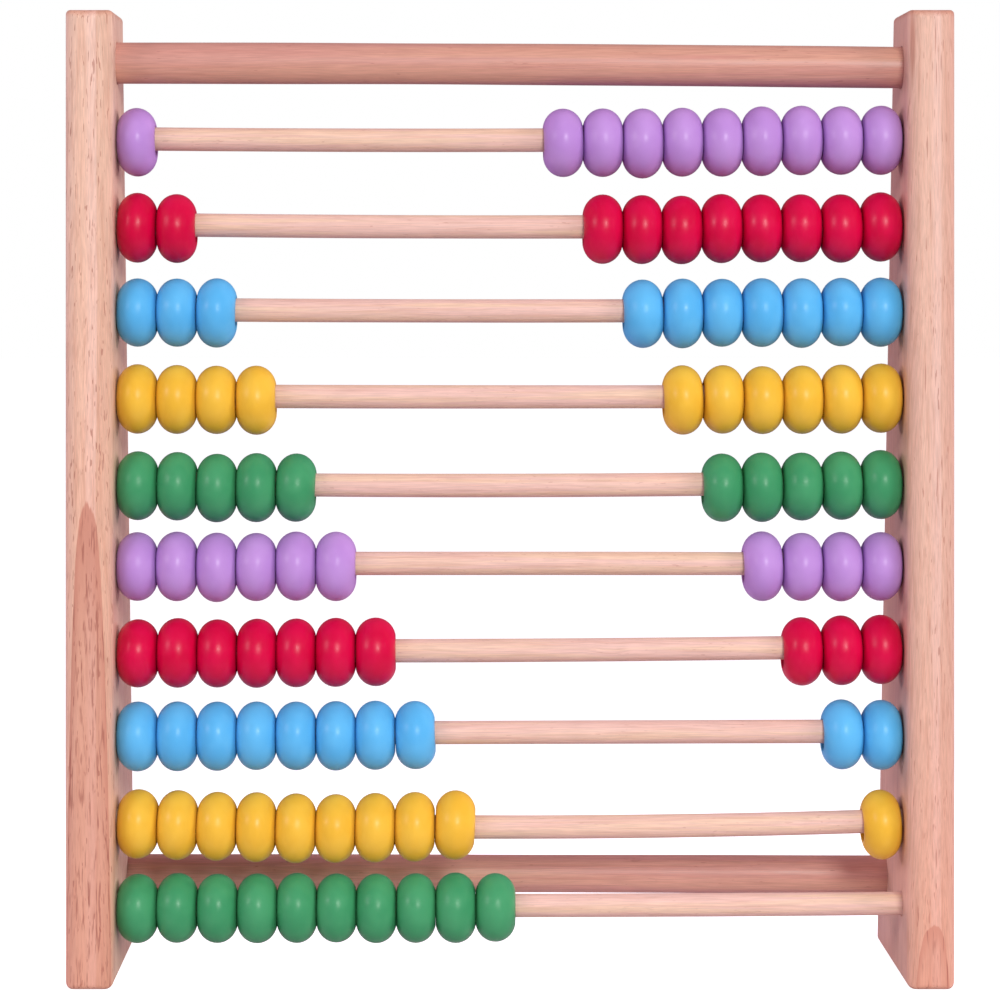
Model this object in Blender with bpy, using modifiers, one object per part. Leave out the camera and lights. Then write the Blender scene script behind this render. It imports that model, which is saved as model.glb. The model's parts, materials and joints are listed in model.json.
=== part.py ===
# A ten-row counting frame: two tapering side boards, two dowels that tie them
# together, ten thin rods and a hundred flattened beads, ten to a rod.
#
# Metres, +Z up, the front faces -Y. The origin is the middle of the base, on
# the surface that the frame stands on.

import math

import bmesh
import bpy
from mathutils import Euler, Vector

# Frame
FRAME_HEIGHT = 0.3045
INNER_WIDTH = 0.2476  # between the two side boards
BOARD_THICKNESS = 0.0150
BOARD_DEPTH_BASE = 0.0700
BOARD_DEPTH_TOP = 0.0330
BOARD_EDGE_RADIUS = 0.0040
BOARD_EDGE_SEGMENTS = 3

# Places on the board's side face: how far up the front edge, how far behind it
LOWEST_ROD_UP = 0.0246
ROD_PITCH = 0.0269
ROD_BEHIND = 0.0155
TOP_DOWEL_UP = 0.2900
TOP_DOWEL_BEHIND = 0.0160
REAR_DOWEL_UP = 0.0291
REAR_DOWEL_BEHIND = 0.0510

# Round wood and the blind holes that hold it
ROD_RADIUS = 0.00375
DOWEL_RADIUS = 0.0065
SOCKET_DEPTH = 0.0100
FIT_GAP = 0.0003
ROUND_SIDES = 16

# Beads
ROWS = 10
BEADS_PER_ROW = 10
BEAD_RADIUS = 0.0110
BEAD_FLAT_RADIUS = 0.0063  # of the flat end faces that touch
BEAD_BORE_RADIUS = 0.0051
BEAD_PITCH = 0.01258
BEAD_DROP = 0.0010  # a bead hangs on its rod, so its axis lies below the rod's
BEAD_SIDES = 12
CROWN_STEPS = 4
LONGEST_STRING = 4  # above this, the beads behind the first are two strings

# Finishes: base colour, roughness
FINISHES = {
    "side_wood": ((0.80, 0.58, 0.46), 0.55),
    "rod_wood": ((0.80, 0.60, 0.45), 0.55),
    "dowel_wood": ((0.66, 0.40, 0.30), 0.55),
    "purple_paint": ((0.46, 0.20, 0.62), 0.35),
    "red_paint": ((0.62, 0.01, 0.04), 0.35),
    "blue_paint": ((0.06, 0.34, 0.77), 0.35),
    "yellow_paint": ((0.87, 0.48, 0.03), 0.35),
    "green_paint": ((0.04, 0.28, 0.10), 0.35),
}
ROW_PAINTS = ("purple_paint", "red_paint", "blue_paint", "yellow_paint", "green_paint")

BOARD_LEAN = math.atan2((BOARD_DEPTH_BASE - BOARD_DEPTH_TOP) / 2, FRAME_HEIGHT)
ALONG_X = Euler((0, math.radians(90), 0))  # turns an object's own Z to +X


def clear_scene():
    for thing in list(bpy.data.objects):
        bpy.data.objects.remove(thing, do_unlink=True)


def new_collection(name):
    collection = bpy.data.collections.new(name)
    bpy.context.scene.collection.children.link(collection)
    return collection


def make_finish(name):
    colour, roughness = FINISHES[name]
    material = bpy.data.materials.new(name)
    material.use_nodes = True
    shader = material.node_tree.nodes["Principled BSDF"]
    shader.inputs["Base Color"].default_value = (*colour, 1)
    shader.inputs["Roughness"].default_value = roughness
    shader.inputs["Metallic"].default_value = 0
    return material


def on_board(up, behind):
    """Midway between the boards, `up` along their leaning front edge and `behind` it, square to it."""
    y = up * math.sin(BOARD_LEAN) + behind * math.cos(BOARD_LEAN)
    z = up * math.cos(BOARD_LEAN) - behind * math.sin(BOARD_LEAN)
    return Vector((0, y - BOARD_DEPTH_BASE / 2, z))


def rod_centre(row):
    """The middle of a rod; row 1 is the top one."""
    return on_board(LOWEST_ROD_UP + (ROWS - row) * ROD_PITCH, ROD_BEHIND)


def add_object(name, mesh, collection, parent, location=(0, 0, 0), turn=(0, 0, 0)):
    made = bpy.data.objects.new(name, mesh)
    made.location = location
    made.rotation_euler = turn
    made.parent = parent
    collection.objects.link(made)
    return made


def add_empty(name, collection, parent=None, location=(0, 0, 0)):
    return add_object(name, None, collection, parent, location)


def cylinder_mesh(name, radius, length, finish=None):
    """A round bar along its own Z, centred."""
    shape = bmesh.new()
    bmesh.ops.create_cone(
        shape, cap_ends=True, segments=ROUND_SIDES, radius1=radius, radius2=radius, depth=length
    )
    mesh = bpy.data.meshes.new(name)
    shape.to_mesh(mesh)
    shape.free()
    mesh.shade_smooth()
    mesh.set_sharp_from_angle(angle=math.radians(40))
    if finish:
        mesh.materials.append(finish)
    return mesh


def board_mesh(name, finish):
    """A box drawn in towards its top, with its edges marked for rounding except round the base."""
    shape = bmesh.new()
    bmesh.ops.create_cube(shape, size=1)
    bmesh.ops.scale(
        shape, vec=(BOARD_THICKNESS, BOARD_DEPTH_BASE, FRAME_HEIGHT), verts=shape.verts
    )
    bmesh.ops.translate(shape, vec=(0, 0, FRAME_HEIGHT / 2), verts=shape.verts)
    top = [vert for vert in shape.verts if vert.co.z > FRAME_HEIGHT / 2]
    bmesh.ops.scale(shape, vec=(1, BOARD_DEPTH_TOP / BOARD_DEPTH_BASE, 1), verts=top)
    rounded = shape.edges.layers.float.new("bevel_weight_edge")
    for edge in shape.edges:
        if any(vert in top for vert in edge.verts):
            edge[rounded] = 1.0
    mesh = bpy.data.meshes.new(name)
    shape.to_mesh(mesh)
    shape.free()
    mesh.materials.append(finish)
    return mesh


def add_board(name, side, collection, frame, finish, cutters):
    centre_x = side * (INNER_WIDTH + BOARD_THICKNESS) / 2
    board = add_object(name, board_mesh(name, finish), collection, frame, (centre_x, 0, 0))
    rounding = board.modifiers.new("edge_rounding", "BEVEL")
    rounding.limit_method = "WEIGHT"
    rounding.width = BOARD_EDGE_RADIUS
    rounding.segments = BOARD_EDGE_SEGMENTS
    sockets = board.modifiers.new("sockets", "BOOLEAN")
    sockets.operation = "DIFFERENCE"
    sockets.operand_type = "COLLECTION"
    sockets.collection = cutters


def add_bar(name, radius, centre, collection, frame, finish, cutters):
    """A rod or dowel between the boards, and the cutter that makes its socket in each."""
    length = INNER_WIDTH + 2 * (SOCKET_DEPTH - FIT_GAP)
    mesh = cylinder_mesh(name, radius, length, finish)
    add_object(name, mesh, collection, frame, centre, ALONG_X)
    hole = cylinder_mesh(name + "_hole", radius + FIT_GAP, INNER_WIDTH + 2 * SOCKET_DEPTH)
    cutter = add_object(name + "_hole", hole, cutters, frame, centre, ALONG_X)
    cutter.hide_render = True
    cutter.display_type = "WIRE"


def bead_outline(count):
    """Half the section of a string of beads, as (radius, height) round the loop from its top end.

    It runs down the outer side over one half-ellipse a bead, then back up the bore.
    """
    half_width = (BEAD_PITCH - FIT_GAP) / 2
    rise = BEAD_RADIUS - BEAD_FLAT_RADIUS
    top = ((count - 1) * BEAD_PITCH) / 2 + half_width
    outline = []
    for bead in range(count):
        middle = ((count - 1) / 2 - bead) * BEAD_PITCH
        reach_up = top - middle if bead == 0 else BEAD_PITCH / 2
        reach_down = top + middle if bead == count - 1 else BEAD_PITCH / 2
        for step in range(CROWN_STEPS + 1):
            if step == 0 and bead > 0:
                continue  # the neck already ends the bead above
            angle = math.pi * step / CROWN_STEPS
            reach = reach_up if step * 2 <= CROWN_STEPS else reach_down
            radius = BEAD_FLAT_RADIUS + rise * math.sin(angle)
            outline.append((radius, middle + reach * math.cos(angle)))
    outline.append((BEAD_BORE_RADIUS, -top))
    outline.append((BEAD_BORE_RADIUS, top))
    return outline


def add_string(name, count, centre, paint, collection, parent):
    """One bead, or a few that stand together, turned in one piece round their bore."""
    shape = bmesh.new()
    verts = [shape.verts.new((radius, 0, height)) for radius, height in bead_outline(count)]
    for first, second in zip(verts, verts[1:] + verts[:1]):
        shape.edges.new((first, second))
    mesh = bpy.data.meshes.new(name)
    shape.to_mesh(mesh)
    shape.free()
    mesh.materials.append(paint)
    beads = add_object(name, mesh, collection, parent, centre, ALONG_X)
    turning = beads.modifiers.new("turning", "SCREW")
    turning.axis = "Z"
    turning.angle = math.radians(360)
    turning.steps = BEAD_SIDES
    turning.render_steps = BEAD_SIDES
    turning.use_merge_vertices = True
    turning.merge_threshold = 0.00001
    turning.use_smooth_shade = True


def string_counts(beads):
    """The bead next to the free gap by itself, then the rest as one string or two."""
    rest = beads - 1
    if rest <= 0:
        return [1] * beads
    if rest <= LONGEST_STRING:
        return [1, rest]
    return [1, rest // 2, rest - rest // 2]


def string_name(row, first, last):
    low, high = sorted((first, last))
    if low == high:
        return f"row{row:02d}_bead{low:02d}"
    return f"row{row:02d}_beads{low:02d}-{high:02d}"


def add_bead_set(row, side, beads, paint, collection, frame):
    """The beads at one end of a rod, numbered from the left, on one empty that slides with them."""
    if beads == 0:
        return
    side_name = "left" if side < 0 else "right"
    axis = rod_centre(row) - Vector((0, 0, BEAD_DROP))
    slider = add_empty(f"row{row:02d}_{side_name}_slider", collection, frame, axis)
    end_of_rod = side * (INNER_WIDTH - FIT_GAP) / 2
    from_board = beads
    for count in string_counts(beads):
        nearest = from_board - count
        middle_x = end_of_rod - side * (nearest + count / 2) * BEAD_PITCH
        if side < 0:
            name = string_name(row, nearest + 1, from_board)
        else:
            name = string_name(row, BEADS_PER_ROW - nearest, BEADS_PER_ROW - from_board + 1)
        add_string(name, count, (middle_x, 0, 0), paint, collection, slider)
        from_board = nearest


def build():
    clear_scene()
    abacus = new_collection("abacus")
    cutters = new_collection("cutters")
    finish = {name: make_finish(name) for name in FINISHES}
    frame = add_empty("frame", abacus)

    for row in range(1, ROWS + 1):
        name = f"rod_{row:02d}"
        add_bar(name, ROD_RADIUS, rod_centre(row), abacus, frame, finish["rod_wood"], cutters)
    top = on_board(TOP_DOWEL_UP, TOP_DOWEL_BEHIND)
    rear = on_board(REAR_DOWEL_UP, REAR_DOWEL_BEHIND)
    add_bar("top_dowel", DOWEL_RADIUS, top, abacus, frame, finish["dowel_wood"], cutters)
    add_bar("rear_dowel", DOWEL_RADIUS, rear, abacus, frame, finish["dowel_wood"], cutters)
    add_board("side_board_left", -1, abacus, frame, finish["side_wood"], cutters)
    add_board("side_board_right", 1, abacus, frame, finish["side_wood"], cutters)

    for row in range(1, ROWS + 1):
        paint = finish[ROW_PAINTS[(row - 1) % len(ROW_PAINTS)]]
        add_bead_set(row, -1, row, paint, abacus, frame)
        add_bead_set(row, 1, BEADS_PER_ROW - row, paint, abacus, frame)
    bpy.context.view_layer.update()


build()
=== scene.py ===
# A ten-row counting frame: rubberwood sides, round rods and dowels, a hundred painted beads.
import json
import math
import random

import bmesh
import bpy
from mathutils import Euler, Matrix, Vector, noise

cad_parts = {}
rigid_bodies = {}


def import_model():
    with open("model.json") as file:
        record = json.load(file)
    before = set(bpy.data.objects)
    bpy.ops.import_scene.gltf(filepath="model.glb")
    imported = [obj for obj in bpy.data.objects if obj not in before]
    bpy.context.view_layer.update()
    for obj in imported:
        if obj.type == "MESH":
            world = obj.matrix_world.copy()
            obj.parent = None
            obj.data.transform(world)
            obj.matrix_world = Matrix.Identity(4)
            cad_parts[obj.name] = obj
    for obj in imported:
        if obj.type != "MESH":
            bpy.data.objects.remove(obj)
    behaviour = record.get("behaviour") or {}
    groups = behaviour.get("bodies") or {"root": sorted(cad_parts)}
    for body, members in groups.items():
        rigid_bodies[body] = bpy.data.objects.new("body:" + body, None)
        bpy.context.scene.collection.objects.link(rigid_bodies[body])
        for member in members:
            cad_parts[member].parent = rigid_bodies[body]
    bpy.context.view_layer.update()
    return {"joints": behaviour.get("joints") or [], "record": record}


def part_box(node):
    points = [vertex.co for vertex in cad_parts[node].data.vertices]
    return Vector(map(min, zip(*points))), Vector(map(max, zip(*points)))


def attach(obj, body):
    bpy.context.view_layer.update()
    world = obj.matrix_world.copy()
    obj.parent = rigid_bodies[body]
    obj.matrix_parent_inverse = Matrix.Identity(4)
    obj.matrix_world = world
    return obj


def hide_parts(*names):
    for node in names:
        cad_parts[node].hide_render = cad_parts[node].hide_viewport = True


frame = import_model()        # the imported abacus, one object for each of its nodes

mm = 0.001
tiny = 0.001 * mm        # points closer than this are one
bodyNodes = frame["record"]["behaviour"]["bodies"]
slideReach = frame["joints"][0]["range_m"][1]


def middleOf(node):
    low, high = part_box(node)
    return (low + high) / 2


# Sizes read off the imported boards
leftLow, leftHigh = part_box("side_board_left")
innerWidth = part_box("side_board_right")[0].x - leftHigh.x
boardThick = leftHigh.x - leftLow.x
baseDepth = leftHigh.y - leftLow.y
frameHeight = leftHigh.z


# Finishes: small helpers that put shader nodes together

def put(tree, kind, feeds=None, **settings):
    # one shader node; feeds gives each socket a number, a colour or another node's output
    node = tree.nodes.new("ShaderNode" + kind)
    for key, value in settings.items():
        setattr(node, key, value)
    for socket, feed in (feeds or {}).items():
        if isinstance(feed, bpy.types.NodeSocket):
            tree.links.new(feed, node.inputs[socket])
        else:
            node.inputs[socket].default_value = feed
    return node


def sums(tree, operation, *terms):
    return put(tree, "Math", dict(enumerate(terms)), operation=operation).outputs[0]


def vectors(tree, operation, feeds):
    node = put(tree, "VectorMath", feeds, operation=operation)
    return node.outputs["Value" if operation in ("LENGTH", "DISTANCE") else "Vector"]


def fade(tree, value, low, high, bottom=0.0, top=1.0):
    # a soft step from bottom to top while the value goes from low to high
    feeds = {"Value": value, "From Min": low, "From Max": high, "To Min": bottom, "To Max": top}
    return put(tree, "MapRange", feeds, interpolation_type="SMOOTHSTEP").outputs[0]


def blendColours(tree, amount, first, second, mode="MIX"):
    feeds = {0: amount, 6: first, 7: second}
    return put(tree, "Mix", feeds, data_type="RGBA", blend_type=mode).outputs[2]


def tint(red, green, blue):
    # a colour as a paint card gives it, 0 to 255
    parts = [part / 255 for part in (red, green, blue)]
    linear = [p / 12.92 if p <= 0.04045 else ((p + 0.055) / 1.055) ** 2.4 for p in parts]
    return (*linear, 1.0)


def startFinish(name):
    material = bpy.data.materials.new(name)
    material.use_nodes = True
    tree = material.node_tree
    return material, tree, tree.nodes["Principled BSDF"]


# Wood

# What all the wood here shares. A grain's two sizes are its width and its length; a fade's two
# numbers are where a noise starts to count and where it counts in full
timber = {
    "wanderGrain": (9 * mm, 70 * mm),
    "swirlPush": 4,             # times the wander, in the middle of a swirl
    "slender": 40,              # a band or a streak is so many times longer than wide
    "bandFade": (0.40, 0.60),
    "bandShare": 0.3,           # what is left of the bands where a board has a strip
    "stripLeftEdge": (-1.5 * mm, 1.0 * mm),
    "stripRightEdge": (-0.2 * mm, 0.4 * mm),
    "streakFade": (0.46, 0.70),
    "fibreGrain": (0.34 * mm, 9 * mm),
    "fibreFade": (0.28, 0.72),
    "fibreShade": (0.90, 1.08),
    "raggedGrain": (0.8 * mm, 22 * mm),
    "heartLineGrain": (0.72 * mm, 20 * mm),
    "heartLineFade": (0.53, 0.68),
    "patchGrain": (5 * mm, 45 * mm),
    "patchPull": 0.22,          # how much easier pores open inside a patch than outside
    "poreFade": 0.05,
    "longPoreHalf": 0.26 * mm,
    "longPoreFade": (0.45, 1.0),
    "stainFade": (0.3, 1.0),
    "sheenFade": (0.2, 0.8),
    "roughSpread": (-0.05, 0.07),
    "fibreHeight": 0.5,         # where a pore is 1 deep
    "bumpStrength": 0.35,
    "bumpHeight": 0.06 * mm,
}
uncounted = 1e5                 # a scale so large that its axis no longer counts


def grain(tree, wood, source, sizes, detail=2.0, shift=0.0):
    # noise drawn out along the wood; the shift makes each use a different one
    width, length = sizes
    squeeze = [1 / width] * 3
    squeeze[wood["run"]] = 1 / length
    feeds = {"Vector": source, "Location": (shift, 1.7 * shift, 2.3 * shift), "Scale": squeeze}
    feeds = {"Vector": put(tree, "Mapping", feeds).outputs[0], "Scale": 1.0}
    return put(tree, "TexNoise", {**feeds, "Detail": detail, "Roughness": 0.55})


def farOut(tree, feeds):
    # how far a place is from the origin of a moved, turned or stretched set of axes
    node = put(tree, "Mapping", feeds, vector_type="TEXTURE")
    return vectors(tree, "LENGTH", {0: node.outputs[0]})


def ovalAt(tree, source, x, z, halfWidth, halfHeight):
    # 0 in the oval's middle and 1 on its rim, however deep in the wood
    feeds = {"Vector": source, "Location": (x, 0, z), "Scale": (halfWidth, uncounted, halfHeight)}
    return farOut(tree, feeds)


def bendFibres(tree, wood, place):
    # the fibres wander a little, and swirl where a side twig grew
    wander = grain(tree, wood, place, timber["wanderGrain"], 1.0).outputs[1]
    wander = vectors(tree, "SUBTRACT", {0: wander, 1: (0.5, 0.5, 0.5)})
    reach = wood["wander"]
    for x, y, z, size in wood.get("swirls", ()):
        near = vectors(tree, "DISTANCE", {0: place, 1: (x, y, z)})
        push = fade(tree, near, 0.0, size, timber["swirlPush"] * wood["wander"], 0.0)
        reach = sums(tree, "ADD", reach, push)
    pushed = vectors(tree, "SCALE", {0: wander, "Scale": reach})
    return vectors(tree, "ADD", {0: place, 1: pushed})


def bandsAndStreaks(tree, wood, bent):
    # two close colours in wide bands, then darker streaks
    sizes = (wood["band"], wood["band"] * timber["slender"])
    wide = fade(tree, grain(tree, wood, bent, sizes).outputs[0], *timber["bandFade"])
    if "strip" in wood:  # rosy to the right of a still paler strip down the face
        left, right = wood["strip"]
        across = put(tree, "SeparateXYZ", {0: bent}).outputs[0]
        beyond = fade(tree, across, *(right + edge for edge in timber["stripRightEdge"]))
        wide = sums(tree, "MULTIPLY", wide, timber["bandShare"])
        wide = sums(tree, "MULTIPLY_ADD", beyond, 1 - timber["bandShare"], wide)
    colour = blendColours(tree, wide, wood["pale"], wood["rosy"])
    if "strip" in wood:
        strip = fade(tree, across, *(left + edge for edge in timber["stripLeftEdge"]))
        strip = sums(tree, "MULTIPLY", strip, sums(tree, "SUBTRACT", 1.0, beyond))
        strip = sums(tree, "MULTIPLY", strip, wood["stripDepth"])
        colour = blendColours(tree, strip, colour, wood["stripColour"])
    sizes = (wood["streak"], wood["streak"] * timber["slender"])
    streak = fade(tree, grain(tree, wood, bent, sizes, 3.0, 3.1).outputs[0], *timber["streakFade"])
    streak = sums(tree, "MULTIPLY", streak, wood["streakDepth"])
    return blendColours(tree, streak, colour, wood["dark"])


def addHeartwood(tree, wood, place, bent, colour):
    # redder wood that a slanting growth ring cuts off in an arch
    arch = wood["heart"]
    limit = arch["ring"]
    # distance from the tree's middle line, which leans towards the face on its way down
    feeds = {"Vector": place, "Location": arch["middle"], "Rotation": (arch["lean"], 0, 0)}
    feeds["Scale"] = (1, 1, uncounted)
    ring = farOut(tree, feeds)
    warmth = fade(tree, ring, *(limit + edge for edge in arch["warmEdge"]), arch["warmth"], 0.0)
    colour = blendColours(tree, warmth, colour, arch["warmColour"], "MULTIPLY")

    ragged = grain(tree, wood, place, timber["raggedGrain"], 2.0, 8.8).outputs[0]
    ragged = sums(tree, "MULTIPLY_ADD", ragged, arch["ragged"], ring)
    inside = sums(tree, "SUBTRACT", limit + arch["ragged"] / 2, ragged)
    heart = fade(tree, inside, 0.0, arch["edge"])
    depth = fade(tree, inside, arch["edge"], arch["fill"], arch["depth"], arch["rest"])
    colour = blendColours(tree, sums(tree, "MULTIPLY", heart, depth), colour, arch["colour"])

    lines = grain(tree, wood, bent, timber["heartLineGrain"], 2.0, 9.7).outputs[0]
    lines = sums(tree, "MULTIPLY", fade(tree, lines, *timber["heartLineFade"]), heart)
    lines = sums(tree, "MULTIPLY", lines, arch["lineDepth"])
    return blendColours(tree, lines, colour, arch["lineColour"])


def openPores(tree, wood, bent):
    # short dark dashes that come in patches, and a few long ones
    patches = grain(tree, wood, bent, timber["patchGrain"], 1.0, 7.7).outputs[0]
    dashes = grain(tree, wood, bent, (wood["poreWidth"], wood["poreLength"]), 1.0, 6.1).outputs[0]
    pull = timber["patchPull"]
    limit = sums(tree, "MULTIPLY_ADD", patches, -pull, wood["poreLimit"] + pull / 2)
    pore = fade(tree, sums(tree, "SUBTRACT", dashes, limit), 0.0, timber["poreFade"])
    for x, z, halfLength in wood.get("longPores", ()):
        off = ovalAt(tree, bent, x, z, timber["longPoreHalf"], halfLength)
        pore = sums(tree, "MAXIMUM", pore, fade(tree, off, *timber["longPoreFade"], 1.0, 0.0))
    return pore


def makeWood(name, wood):
    material, tree, shader = startFinish(name)
    place = put(tree, "TexCoord").outputs["Object"]
    bent = bendFibres(tree, wood, place)
    colour = bandsAndStreaks(tree, wood, bent)
    fibre = grain(tree, wood, bent, timber["fibreGrain"], 2.0, 5.3).outputs[0]
    shade = fade(tree, fibre, *timber["fibreFade"], *timber["fibreShade"])
    colour = blendColours(tree, 1.0, colour, shade, "MULTIPLY")
    if "heart" in wood:
        colour = addHeartwood(tree, wood, place, bent, colour)
    pore = openPores(tree, wood, bent)
    shade = sums(tree, "MULTIPLY", pore, wood["poreDepth"])
    colour = blendColours(tree, shade, colour, wood["poreColour"])
    if "stain" in wood:  # a brown streak up the wood
        off = ovalAt(tree, bent, *wood["stain"])
        shade = fade(tree, off, *timber["stainFade"], wood["stainDepth"], 0.0)
        colour = blendColours(tree, shade, colour, wood["stainColour"])
    if "endGrain" in wood:  # sawn across at the top, the wood drinks more lacquer and darkens
        up = put(tree, "SeparateXYZ", {0: bent}).outputs[2]
        sawn = fade(tree, up, *(frameHeight - below for below in wood["endEdge"]))
        colour = blendColours(tree, sawn, colour, wood["endGrain"], "MULTIPLY")
    tree.links.new(colour, shader.inputs["Base Color"])

    roughness = (wood["rough"] + spread for spread in timber["roughSpread"])
    rough = fade(tree, fibre, *timber["sheenFade"], *roughness)
    tree.links.new(rough, shader.inputs["Roughness"])
    shader.inputs["Specular IOR Level"].default_value = wood["shine"]
    height = sums(tree, "MULTIPLY", fibre, timber["fibreHeight"])
    height = sums(tree, "MULTIPLY_ADD", pore, -1.0, height)
    feeds = {"Strength": timber["bumpStrength"], "Distance": timber["bumpHeight"], "Height": height}
    tree.links.new(put(tree, "Bump", feeds).outputs[0], shader.inputs["Normal"])
    return material


# Turning a shape on the lathe, and putting a finished mesh into the scene

def spinRound(points, steps, closed):
    # points are (along, out from the middle); the work turns round X
    shape = bmesh.new()
    verts = [shape.verts.new((along, 0, out)) for along, out in points]
    nextVerts = verts[1:] + verts[:1] if closed else verts[1:]
    edges = [shape.edges.new(pair) for pair in zip(verts, nextVerts)]
    bmesh.ops.spin(
        shape, geom=verts + edges, cent=(0, 0, 0), axis=(1, 0, 0), dvec=(0, 0, 0),
        angle=math.tau, steps=steps, use_merge=True, use_duplicate=False
    )
    bmesh.ops.remove_doubles(shape, verts=shape.verts, dist=tiny)
    return shape


def addPiece(shape, name, material):
    mesh = bpy.data.meshes.new(name)
    shape.to_mesh(mesh)
    shape.free()
    mesh.shade_smooth()
    mesh.materials.append(material)
    piece = bpy.data.objects.new(name, mesh)
    bpy.context.scene.collection.objects.link(piece)
    return piece


def rideOn(piece, body, slot, *nodes):
    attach(piece, body)
    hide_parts(*nodes)


# Round bars: rods that the beads run on, and the two dowels that tie the boards

bars = {
    "rodRadius": 3.7 * mm,
    "dowelRadius": {"top_dowel": 6.5 * mm, "rear_dowel": 6.15 * mm},
    "rodSides": 32,
    "dowelSides": 48,
    "endEase": 0.4 * mm,
    "slices": 60,
    "endGap": 0.6 * mm,     # between a bar's end and the bottom of its socket
    "unevenness": 0.012,    # share of the radius
    "swellWaves": 22,       # to the metre; thicker and thinner along the bar
    "ovalWaves": 14,        # out of round
}
# How each bar lies, in mm: lower ends, sag at the middle, right end higher than the left
barLie = {
    "rod_01": (0.0, 0.8, 0.6),
    "rod_02": (0.4, 0.9, 0.0),
    "rod_03": (0.35, 0.6, 0.0),
    "rod_04": (0.8, 0.4, 0.0),
    "rod_05": (1.2, 1.1, 0.5),
    "rod_06": (0.2, -0.2, 0.0),
    "rod_07": (-0.2, 0.8, 1.3),
    "rod_08": (-0.4, 0.0, 0.8),
    "rod_09": (0.45, 2.2, 0.0),
    "rod_10": (0.0, 0.5, 0.4),
    "top_dowel": (0.4, -0.35, -1.4),
    "rear_dowel": (-0.1, 0.0, -0.5),
}


def barRise(node, x):
    # how far a bar's middle line lies above its straight place
    lower, sag, climb = barLie[node]
    across = x / innerWidth
    return (climb * across - lower - sag * (1 - 4 * across * across)) * mm


def barHeight(node, x):
    return middleOf(node).z + barRise(node, x)


def barSlope(node, x):
    # in radians
    return math.atan2(barRise(node, x + mm) - barRise(node, x - mm), 2 * mm)


# Side boards, sawn to a taper and rounded over; each inner face has twelve sockets

boards = {
    "topDepth": 33 * mm,
    "rounding": 4.8 * mm,
    "roundingSteps": 6,
    # share of the rounding that each edge gets
    "longEdge": {"front": 1.0, "back": 0.4},
    "topEdge": {"front": 0.6, "back": 0.9},
    "topSides": 0.32,
    "base": 0.42,
    "socketDepth": 10 * mm,
    "socketSlack": 0.12 * mm,
    "socketSides": 40,
    "mouth": 0.35 * mm,  # the worn rim of each socket
}
lean = math.atan2((baseDepth - boards["topDepth"]) / 2, frameHeight)


def onBoard(up, behind, x=0.0):
    # so far up the leaning front edge and so far behind it
    y = up * math.sin(lean) + behind * math.cos(lean)
    z = up * math.cos(lean) - behind * math.sin(lean)
    return Vector((x, y + leftLow.y, z))


boardWood = {
    "run": 2,
    "wander": 2.0 * mm,
    "band": 3.6 * mm,
    "streak": 1.2 * mm,
    "streakDepth": 0.36,
    "poreWidth": 0.56 * mm,
    "poreLength": 5 * mm,
    "poreLimit": 0.655,
    "poreDepth": 0.60,
    "rough": 0.50,
    "shine": 0.35,
    "pale": tint(239, 208, 182),
    "rosy": tint(221, 186, 160),
    "dark": tint(200, 150, 124),
    "poreColour": tint(160, 92, 74),
    "stripColour": tint(242, 216, 202),
    "stripDepth": 0.45,
    "endGrain": tint(238, 214, 206),
    "endEdge": (2.4 * mm, 0.2 * mm),   # below the top, where it starts and where it is full
}
heartwood = {
    "colour": tint(201, 138, 114),
    "depth": 0.90,
    "rest": 0.50,
    "fill": 1.4 * mm,       # how far inside its rim the heartwood has paled to its rest
    "edge": 0.05 * mm,
    "ragged": 0.12 * mm,
    "lineColour": tint(150, 82, 66),
    "lineDepth": 0.64,
    "warmColour": tint(250, 224, 212),
    "warmth": 0.9,
    "warmEdge": (-5 * mm, 10 * mm),    # from the ring, where the warmth starts to fade and ends
}


def archIn(boardX, apexHeight, ring, slope, **changes):
    # the tree's middle line runs in front of the board, one ring's radius away at the arch's top;
    # downwards it nears the face by its slope
    apex = onBoard(apexHeight, 0, boardX)
    return {**heartwood, "middle": apex - Vector((0, ring, 0)), "lean": math.atan(slope) - lean,
            "ring": ring, **changes}


def socketCutter(radius, centre, side):
    # a drill with a flared shoulder, pushed into a board's inner face
    face = side * innerWidth / 2
    depth, mouth = boards["socketDepth"], boards["mouth"]
    hole = radius + boards["socketSlack"]
    outside, justOutside = -1 * mm, -0.01 * mm
    profile = [(outside, 0), (outside, hole + 2 * mouth), (justOutside, hole + mouth)]
    profile += [(mouth, hole), (depth, hole), (depth, 0)]
    shape = spinRound(profile, boards["socketSides"], closed=False)
    if side < 0:
        bmesh.ops.scale(shape, verts=shape.verts, vec=(-1, 1, 1))
    bmesh.ops.recalc_face_normals(shape, faces=shape.faces)
    bmesh.ops.translate(shape, verts=shape.verts, vec=(face, centre.y, centre.z))
    return shape


def taperedBlank(middle):
    # the board before its edges are rounded; each edge's weight is its share of the rounding
    shape = bmesh.new()
    bmesh.ops.create_cube(shape, size=1)
    bmesh.ops.scale(shape, verts=shape.verts, vec=(boardThick, baseDepth, frameHeight))
    bmesh.ops.translate(shape, verts=shape.verts, vec=(middle, 0, frameHeight / 2))
    top = [vert for vert in shape.verts if vert.co.z > frameHeight / 2]
    bmesh.ops.scale(shape, verts=top, vec=(1, boards["topDepth"] / baseDepth, 1))
    weight = shape.edges.layers.float.new("bevel_weight_edge")
    for edge in shape.edges:
        first, second = (vert.co for vert in edge.verts)
        face = "front" if first.y + second.y < 0 else "back"
        if max(first.z, second.z) < mm:
            edge[weight] = boards["base"]
        elif min(first.z, second.z) < mm:
            edge[weight] = boards["longEdge"][face]
        elif abs(first.x - second.x) > mm:
            edge[weight] = boards["topEdge"][face]
        else:
            edge[weight] = boards["topSides"]
    return shape


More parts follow.
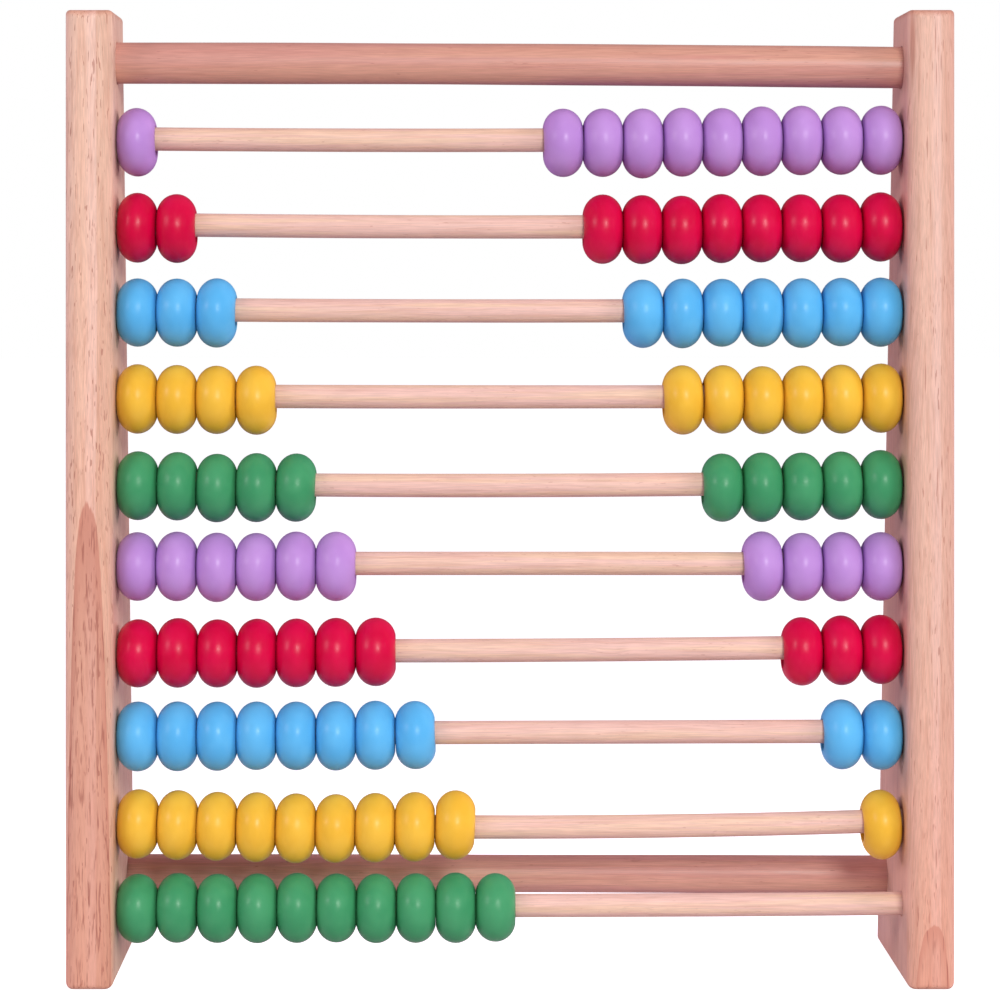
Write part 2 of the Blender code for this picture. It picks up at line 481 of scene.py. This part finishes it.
def makeBoard(name, side, material):
    board = addPiece(taperedBlank(side * (innerWidth + boardThick) / 2), name, material)
    rounding = board.modifiers.new("rounding", "BEVEL")
    rounding.limit_method = "WEIGHT"
    rounding.width = boards["rounding"]
    rounding.segments = boards["roundingSteps"]

    cutters = bpy.data.collections.new(name + "Drills")
    bpy.context.scene.collection.children.link(cutters)
    for node in barLie:
        radius = bars["dowelRadius"].get(node, bars["rodRadius"])
        spot = middleOf(node) + Vector((0, 0, barRise(node, side * innerWidth / 2)))
        drill = addPiece(socketCutter(radius, spot, side), node + "Drill", material)
        bpy.context.scene.collection.objects.unlink(drill)
        cutters.objects.link(drill)
    drilling = board.modifiers.new("sockets", "BOOLEAN")
    drilling.operation = "DIFFERENCE"
    drilling.operand_type = "COLLECTION"
    drilling.collection = cutters
    bpy.context.view_layer.update()
    graph = bpy.context.evaluated_depsgraph_get()
    drilled = bpy.data.meshes.new_from_object(board.evaluated_get(graph))
    board.modifiers.clear()
    board.data = drilled
    for drill in list(cutters.objects):
        bpy.data.objects.remove(drill)
    bpy.data.collections.remove(cutters)
    evening = board.modifiers.new("evenShading", "WEIGHTED_NORMAL")  # flat faces stay flat
    evening.keep_sharp = True
    return board


leftX = -(innerWidth + boardThick) / 2
rightX = (innerWidth + boardThick) / 2
woodOfLeft = makeWood("leftBoardWood", {
    **boardWood,
    "heart": archIn(leftX - 0.3 * mm, 151.5 * mm, 24 * mm, 0.026),
    "strip": (leftX - 0.3 * mm, leftX + 2.4 * mm),
})
rightLongPores = (  # each one's middle across and up the board and half its length, in mm
    (0.6, 295, 6), (0.9, 284, 5), (2.5, 288, 4), (-1.2, 244, 7), (-1.9, 262, 5),
    (1.4, 41, 4), (-4.0, 24, 3), (-2.4, 190, 6), (2.9, 150, 5), (-0.8, 112, 6),
)
woodOfRight = makeWood("rightBoardWood", {
    **boardWood,
    "pale": tint(221, 180, 156),
    "rosy": tint(216, 173, 150),
    "dark": tint(192, 138, 114),
    "streak": 0.9 * mm,
    "poreWidth": 0.5 * mm,
    "poreLength": 9 * mm,
    "poreLimit": 0.685,
    "poreDepth": 0.5,
    "heart": archIn(rightX + 0.6 * mm, 20.5 * mm, 25 * mm, 0.07, fill=0.7 * mm, rest=0.35),
    "strip": (rightX + 0.1 * mm, rightX + 2.5 * mm),
    "stripColour": tint(231, 195, 179),
    "stain": (rightX - 5.9 * mm, 294 * mm, 0.9 * mm, 15 * mm),
    "stainColour": tint(176, 112, 88),
    "stainDepth": 0.6,
    "longPores": [(rightX + x * mm, up * mm, half * mm) for x, up, half in rightLongPores],
})
rideOn(makeBoard("leftBoard", -1, woodOfLeft), "frame", "side_wood", "side_board_left")
rideOn(makeBoard("rightBoard", 1, woodOfRight), "frame", "side_wood", "side_board_right")
print("side boards sawn, rounded and drilled")


# Rods and dowels

def turnBar(node, radius, length, sides, seed):
    centre = middleOf(node)
    shape = bmesh.new()
    bmesh.ops.create_cone(
        shape, cap_ends=True, segments=sides, radius1=radius, radius2=radius, depth=length
    )
    rims = [edge for edge in shape.edges if edge.calc_length() < length / 2]
    bmesh.ops.bevel(
        shape, geom=rims, offset=bars["endEase"], offset_type="OFFSET", segments=2, profile=0.5,
        affect="EDGES", material=-1, clamp_overlap=True
    )
    long = [edge for edge in shape.edges if edge.calc_length() > length / 2]
    bmesh.ops.subdivide_edges(shape, edges=long, cuts=bars["slices"], use_grid_fill=True)
    bmesh.ops.rotate(shape, verts=shape.verts, matrix=Matrix.Rotation(math.radians(90), 3, "Y"))
    for vert in shape.verts:
        x = vert.co.x
        swellAt = Vector((x * bars["swellWaves"], seed * 7.3, 0))
        ovalAround = Vector((x * bars["ovalWaves"], seed * 3.1, 5))
        swell = 1 + bars["unevenness"] * noise.noise(swellAt)
        oval = 1 + bars["unevenness"] * noise.noise(ovalAround)
        vert.co.y *= swell
        vert.co.z *= swell * oval
        vert.co += centre
        vert.co.z += barRise(node, x)
    return shape


def swirlOn(node, x, below, size):
    # on the front of a rod, at its middle line or just below it
    centre = middleOf(node)
    return x, centre.y - 3 * mm, centre.z - below, size


rodWood = makeWood("rodWood", {
    "run": 0,
    "wander": 1.2 * mm,
    "band": 2.4 * mm,
    "streak": 0.8 * mm,
    "streakDepth": 0.32,
    "poreWidth": 0.5 * mm,
    "poreLength": 3 * mm,
    "poreLimit": 0.71,
    "poreDepth": 0.35,
    "rough": 0.55,
    "shine": 0.3,
    "pale": tint(232, 199, 170),
    "rosy": tint(230, 193, 176),
    "dark": tint(204, 153, 126),
    "poreColour": tint(178, 122, 104),
    "swirls": [
        swirlOn("rod_07", 32 * mm, 1 * mm, 9 * mm),
        swirlOn("rod_09", 95 * mm, 1 * mm, 8 * mm),
        swirlOn("rod_10", 40 * mm, 0, 8 * mm),
    ],
})
dowelStock = {
    "run": 0,
    "wander": 1.6 * mm,
    "band": 4 * mm,
    "streak": 1.2 * mm,
    "streakDepth": 0.28,
    "poreWidth": 0.6 * mm,
    "poreLength": 4 * mm,
    "poreLimit": 0.73,
    "poreDepth": 0.45,
    "rough": 0.42,
    "shine": 0.45,
    "pale": tint(217, 165, 143),
    "rosy": tint(212, 156, 141),
    "dark": tint(184, 116, 98),
    "poreColour": tint(150, 88, 76),
}
dowelWoods = {
    "top_dowel": makeWood("topDowelWood", {
        **dowelStock, "pale": tint(209, 156, 132), "rosy": tint(204, 148, 131),
    }),
    "rear_dowel": makeWood("dowelWood", dowelStock),
}
barLength = innerWidth + 2 * (boards["socketDepth"] - bars["endGap"])
for number, node in enumerate(barLie, start=1):
    if node in dowelWoods:
        shape = turnBar(node, bars["dowelRadius"][node], barLength, bars["dowelSides"], number)
        bar = addPiece(shape, node.replace("_dowel", "Dowel"), dowelWoods[node])
        rideOn(bar, "frame", "dowel_wood", node)
    else:
        shape = turnBar(node, bars["rodRadius"], barLength, bars["rodSides"], number)
        bar = addPiece(shape, node.replace("_", ""), rodWood)
        rideOn(bar, "frame", "rod_wood", node)
print("ten rods and two dowels turned")


# Paints

satin = {
    "rough": 0.33,
    "roughSpread": (-0.05, 0.06),
    "shine": 0.24,
    "toneScale": 90.0,
    "toneFade": (0.35, 0.65),
    "skinScale": 700.0,
    "skinFade": (0.3, 0.7),
    "bumpStrength": 0.3,
    "bumpHeight": 0.04 * mm,
}


def makePaint(name, colour, deeper):
    material, tree, shader = startFinish(name)
    place = put(tree, "TexCoord").outputs["Object"]
    feeds = {"Vector": place, "Scale": satin["toneScale"], "Detail": 2.0}
    tone = fade(tree, put(tree, "TexNoise", feeds).outputs[0], *satin["toneFade"])
    tree.links.new(blendColours(tree, tone, colour, deeper), shader.inputs["Base Color"])
    feeds = {"Vector": place, "Scale": satin["skinScale"], "Detail": 3.0}
    skin = put(tree, "TexNoise", feeds).outputs[0]
    roughness = (satin["rough"] + spread for spread in satin["roughSpread"])
    rough = fade(tree, skin, *satin["skinFade"], *roughness)
    tree.links.new(rough, shader.inputs["Roughness"])
    shader.inputs["Specular IOR Level"].default_value = satin["shine"]
    feeds = {"Strength": satin["bumpStrength"], "Distance": satin["bumpHeight"], "Height": skin}
    tree.links.new(put(tree, "Bump", feeds).outputs[0], shader.inputs["Normal"])
    return material


# from the top row down, and then once more; each paint and its slightly deeper patches
paints = {
    "purple": (tint(189, 147, 213), tint(183, 139, 208)),
    "red": (tint(213, 8, 68), tint(206, 4, 60)),
    "blue": (tint(95, 187, 235), tint(86, 180, 231)),
    "yellow": (tint(239, 192, 63), tint(235, 185, 54)),
    "green": (tint(70, 158, 104), tint(61, 150, 97)),
}
paintOf = {name: makePaint(name + "Paint", *tones) for name, tones in paints.items()}
rowPaints = list(paints) * 2


# Beads, turned flat at the ends and dipped in paint

beads = {
    "perRow": 10,
    "bore": 5.1 * mm,
    "lip": 0.4 * mm,
    "crownStart": 4.1 * mm,     # radius at which the half-ellipse of the side begins
    "radius": (10.75 * mm, 11.05 * mm),
    "width": (12.40 * mm, 12.65 * mm),
    "hang": (0.75 * mm, 1.25 * mm),     # below the rod's middle line
    "rodClearance": 0.08 * mm,
    "airBetween": 0.01 * mm,
    "airAtBoard": 0.12 * mm,
    "airAtGap": 0.1 * mm,
    "tilt": 0.45,               # degrees, either way
    "leadTilt": 1.6,            # more for the bead by the gap
    "sides": 48,
    "crownSteps": 16,
    "seed": 31,
}


def turnBead(width, radius):
    # half the section, round from the left lip over the crown to the right lip, then spun
    half, start, lip, bore = width / 2, beads["crownStart"], beads["lip"], beads["bore"]
    stop = math.acos((bore + lip - start) / (radius - start))
    points = []
    for step in range(beads["crownSteps"] + 1):
        angle = stop * (2 * step / beads["crownSteps"] - 1)
        along = half * math.sin(angle) / math.sin(stop)
        points.append((along, start + (radius - start) * math.cos(angle)))
    rightLip = [(half - lip + lip * math.cos(angle), bore + lip - lip * math.sin(angle))
                for angle in map(math.radians, (30, 60, 90))]
    points += rightLip + [(-along, out) for along, out in reversed(rightLip)]
    shape = spinRound(points, beads["sides"], closed=True)
    bmesh.ops.recalc_face_normals(shape, faces=shape.faces)
    return shape


dice = random.Random(beads["seed"])
fourLow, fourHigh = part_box("row10_beads06-09")
beadPitch = (fourHigh.x - fourLow.x + 0.3 * mm) / 4     # four beads with air at their ends


def nodeAt(body, x):
    for node in bodyNodes[body]:
        low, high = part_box(node)
        if low.x <= x <= high.x:
            return node
    raise ValueError(f"no part of {body} at {x:.4f}")


def addSet(row, side, count, material, slot):
    body = f"row{row:02d}_{'left' if side < 0 else 'right'}_beads"
    rod = f"rod_{row:02d}"
    tilts = [dice.uniform(-beads["tilt"], beads["tilt"]) for bead in range(count)]
    tilts[-1] += dice.uniform(-beads["leadTilt"], beads["leadTilt"])    # it leans most
    widths = [dice.uniform(*beads["width"]) for bead in range(count)]
    touch = beads["bore"] + beads["lip"]    # radius of the ring where two beads meet
    againstBoard = math.radians(tilts[0]) - barSlope(rod, side * innerWidth / 2)
    gaps = [beads["airAtBoard"] + touch * abs(math.sin(againstBoard))]
    for last, this in zip(tilts, tilts[1:]):
        gaps.append(beads["airBetween"] + touch * abs(math.sin(math.radians(this - last))))
    endLean = touch * abs(math.sin(math.radians(tilts[-1])))
    length = count * beadPitch - beads["airAtGap"] - sum(gaps) - endLean
    squeeze = min(1.0, length / sum(widths))
    reach = 0.0
    for place in range(count):
        width = widths[place] * squeeze
        reach += gaps[place]
        x = side * (innerWidth / 2 - reach - width / 2)
        reach += width
        atLimit = x - side * slideReach
        slope = barSlope(rod, x)
        # it hangs on the rod, and its bore stays clear of the rod all along the slide
        z = barHeight(rod, x) - dice.uniform(*beads["hang"])
        low, high = -math.inf, math.inf
        for at in (x, (x + atLimit) / 2, atLimit):
            crooked = abs(math.radians(tilts[place])) + abs(barSlope(rod, at) - slope)
            room = beads["bore"] - bars["rodRadius"] - beads["rodClearance"] - crooked * width / 2
            low = max(low, barHeight(rod, at) - room)
            high = min(high, barHeight(rod, at) + room)
        z = min(max(z, low), high)
        shape = turnBead(width, dice.uniform(*beads["radius"]))
        turn = Euler((dice.uniform(0, math.tau), math.radians(tilts[place]) - slope,
                      math.radians(dice.uniform(-beads["tilt"], beads["tilt"]))))
        bmesh.ops.rotate(shape, verts=shape.verts, matrix=turn.to_matrix())
        bmesh.ops.translate(shape, verts=shape.verts, vec=(x, middleOf(rod).y, z))
        number = place + 1 if side < 0 else beads["perRow"] - place
        bead = addPiece(shape, f"bead{row:02d}_{number:02d}", material)
        rideOn(bead, body, slot, nodeAt(body, x))


for row, colour in enumerate(rowPaints, start=1):
    addSet(row, -1, row, paintOf[colour], colour + "_paint")
    if row < beads["perRow"]:
        addSet(row, 1, beads["perRow"] - row, paintOf[colour], colour + "_paint")
    print("row", row, colour, "beads threaded")


# Floor, light and camera

studio = {
    "floorSize": 12.0,
    "floorDrop": 0.2 * mm,                  # below the base
    "floorPoolFade": (0.12, 0.50),              # where the painted pool of light fades out, metres from the middle
    "floorRough": 0.9,
    "floorPaintedPool": (0.70, 0.67, 0.71, 1.0),   # a painted pool of light: the paper is brightest round the frame
    "floorBeyondPool": (0.22, 0.19, 0.22, 1.0),
    "floorGlow": 0.95,
    "ambient": (0.44, 0.34, 0.47, 1.0),
    "ambientGlints": (0.12, 0.11, 0.13, 1.0),
}
softboxes = {
    "frontBox": {"towards": (0.22, -0.91, 0.36), "away": 1.7, "size": 0.50, "strength": 0.53,
                 "colour": (0.97, 1.02, 0.96)},
    "keyBox": {"towards": (-0.80, -0.50, 0.40), "away": 1.6, "size": 0.56, "strength": 0.23,
               "colour": (1.0, 0.90, 0.97)},
    "sideBox": {"towards": (0.84, -0.42, 0.34), "away": 1.6, "size": 0.55, "strength": 0.32,
                "colour": (1.0, 0.90, 0.96), "glints": False},
    # two behind the frame, for the boards' inner faces
    "backLeftBox": {"towards": (-0.86, 0.48, 0.16), "away": 1.6, "size": 0.6, "strength": 0.30,
                    "colour": (0.97, 0.76, 1.0), "glints": False},
    "backRightBox": {"towards": (0.86, 0.48, 0.16), "away": 1.6, "size": 0.6, "strength": 0.39,
                     "colour": (0.98, 0.84, 1.0), "glints": False},
}
eye = {             # up and away are square to the boards' front edges
    "up": 169.6 * mm,
    "away": 943 * mm,
    "x": -20.3 * mm,
    "lens": 109.2,
    "sensor": 36,
    "shift": 0.055,
    "nearest": 0.05,
}

shape = bmesh.new()
bmesh.ops.create_grid(shape, x_segments=8, y_segments=8, size=studio["floorSize"] / 2)
bmesh.ops.translate(shape, verts=shape.verts, vec=(0, 0, -studio["floorDrop"]))
floorPaper, tree, shader = startFinish("floorPaper")
spot = put(tree, "TexCoord").outputs["Object"]
# painted pool of light: the floor's colour is paler round the frame and darker farther out, so more
# light bounces up onto the lower rows
near = fade(tree, vectors(tree, "LENGTH", {0: spot}), *studio["floorPoolFade"])
paper = blendColours(tree, near, studio["floorPaintedPool"], studio["floorBeyondPool"])
tree.links.new(paper, shader.inputs["Base Color"])
shader.inputs["Roughness"].default_value = studio["floorRough"]
shader.inputs["Specular IOR Level"].default_value = 0.0
shader.inputs["Emission Color"].default_value = (1, 1, 1, 1)
# the paper glows to the eye but not onto the wood
seen = put(tree, "LightPath").outputs["Is Camera Ray"]
glow = sums(tree, "MULTIPLY", seen, studio["floorGlow"])
tree.links.new(glow, shader.inputs["Emission Strength"])
floor = addPiece(shape, "floor", floorPaper)

world = bpy.data.worlds.new("studioAir")
world.use_nodes = True
tree = world.node_tree
air = tree.nodes["Background"]
ray = put(tree, "LightPath")
glossy, direct = ray.outputs["Is Glossy Ray"], ray.outputs["Is Camera Ray"]
soft = blendColours(tree, glossy, studio["ambient"], studio["ambientGlints"])
white = (1, 1, 1, 1)
tree.links.new(blendColours(tree, direct, soft, white), air.inputs["Color"])
bpy.context.scene.world = world

target = Vector((0, 0, frameHeight / 2))
for name, box in softboxes.items():
    lamp = bpy.data.lights.new(name, "AREA")
    lamp.shape = "DISK"
    lamp.size = box["size"]
    lamp.color = box["colour"]
    lamp.energy = box["strength"] * (math.pi * box["away"]) ** 2
    light = bpy.data.objects.new(name, lamp)
    towards = Vector(box["towards"]).normalized()
    light.location = target + towards * box["away"]
    light.rotation_euler = (-towards).to_track_quat("-Z", "Y").to_euler()
    light.visible_camera = False
    light.visible_glossy = box.get("glints", True)
    bpy.context.scene.collection.objects.link(light)

camera = bpy.data.objects.new("camera", bpy.data.cameras.new("camera"))
camera.data.lens = eye["lens"]
camera.data.sensor_width = eye["sensor"]
camera.data.shift_x = eye["shift"]
camera.data.shift_y = -eye["shift"]
camera.data.clip_start = eye["nearest"]
camera.location = onBoard(eye["up"], -eye["away"], eye["x"])
camera.rotation_euler = (math.radians(90) - lean, 0, 0)
bpy.context.scene.collection.objects.link(camera)
bpy.context.scene.camera = camera
bpy.context.scene.view_settings.view_transform = "Standard"
print("floor, lights and camera set")
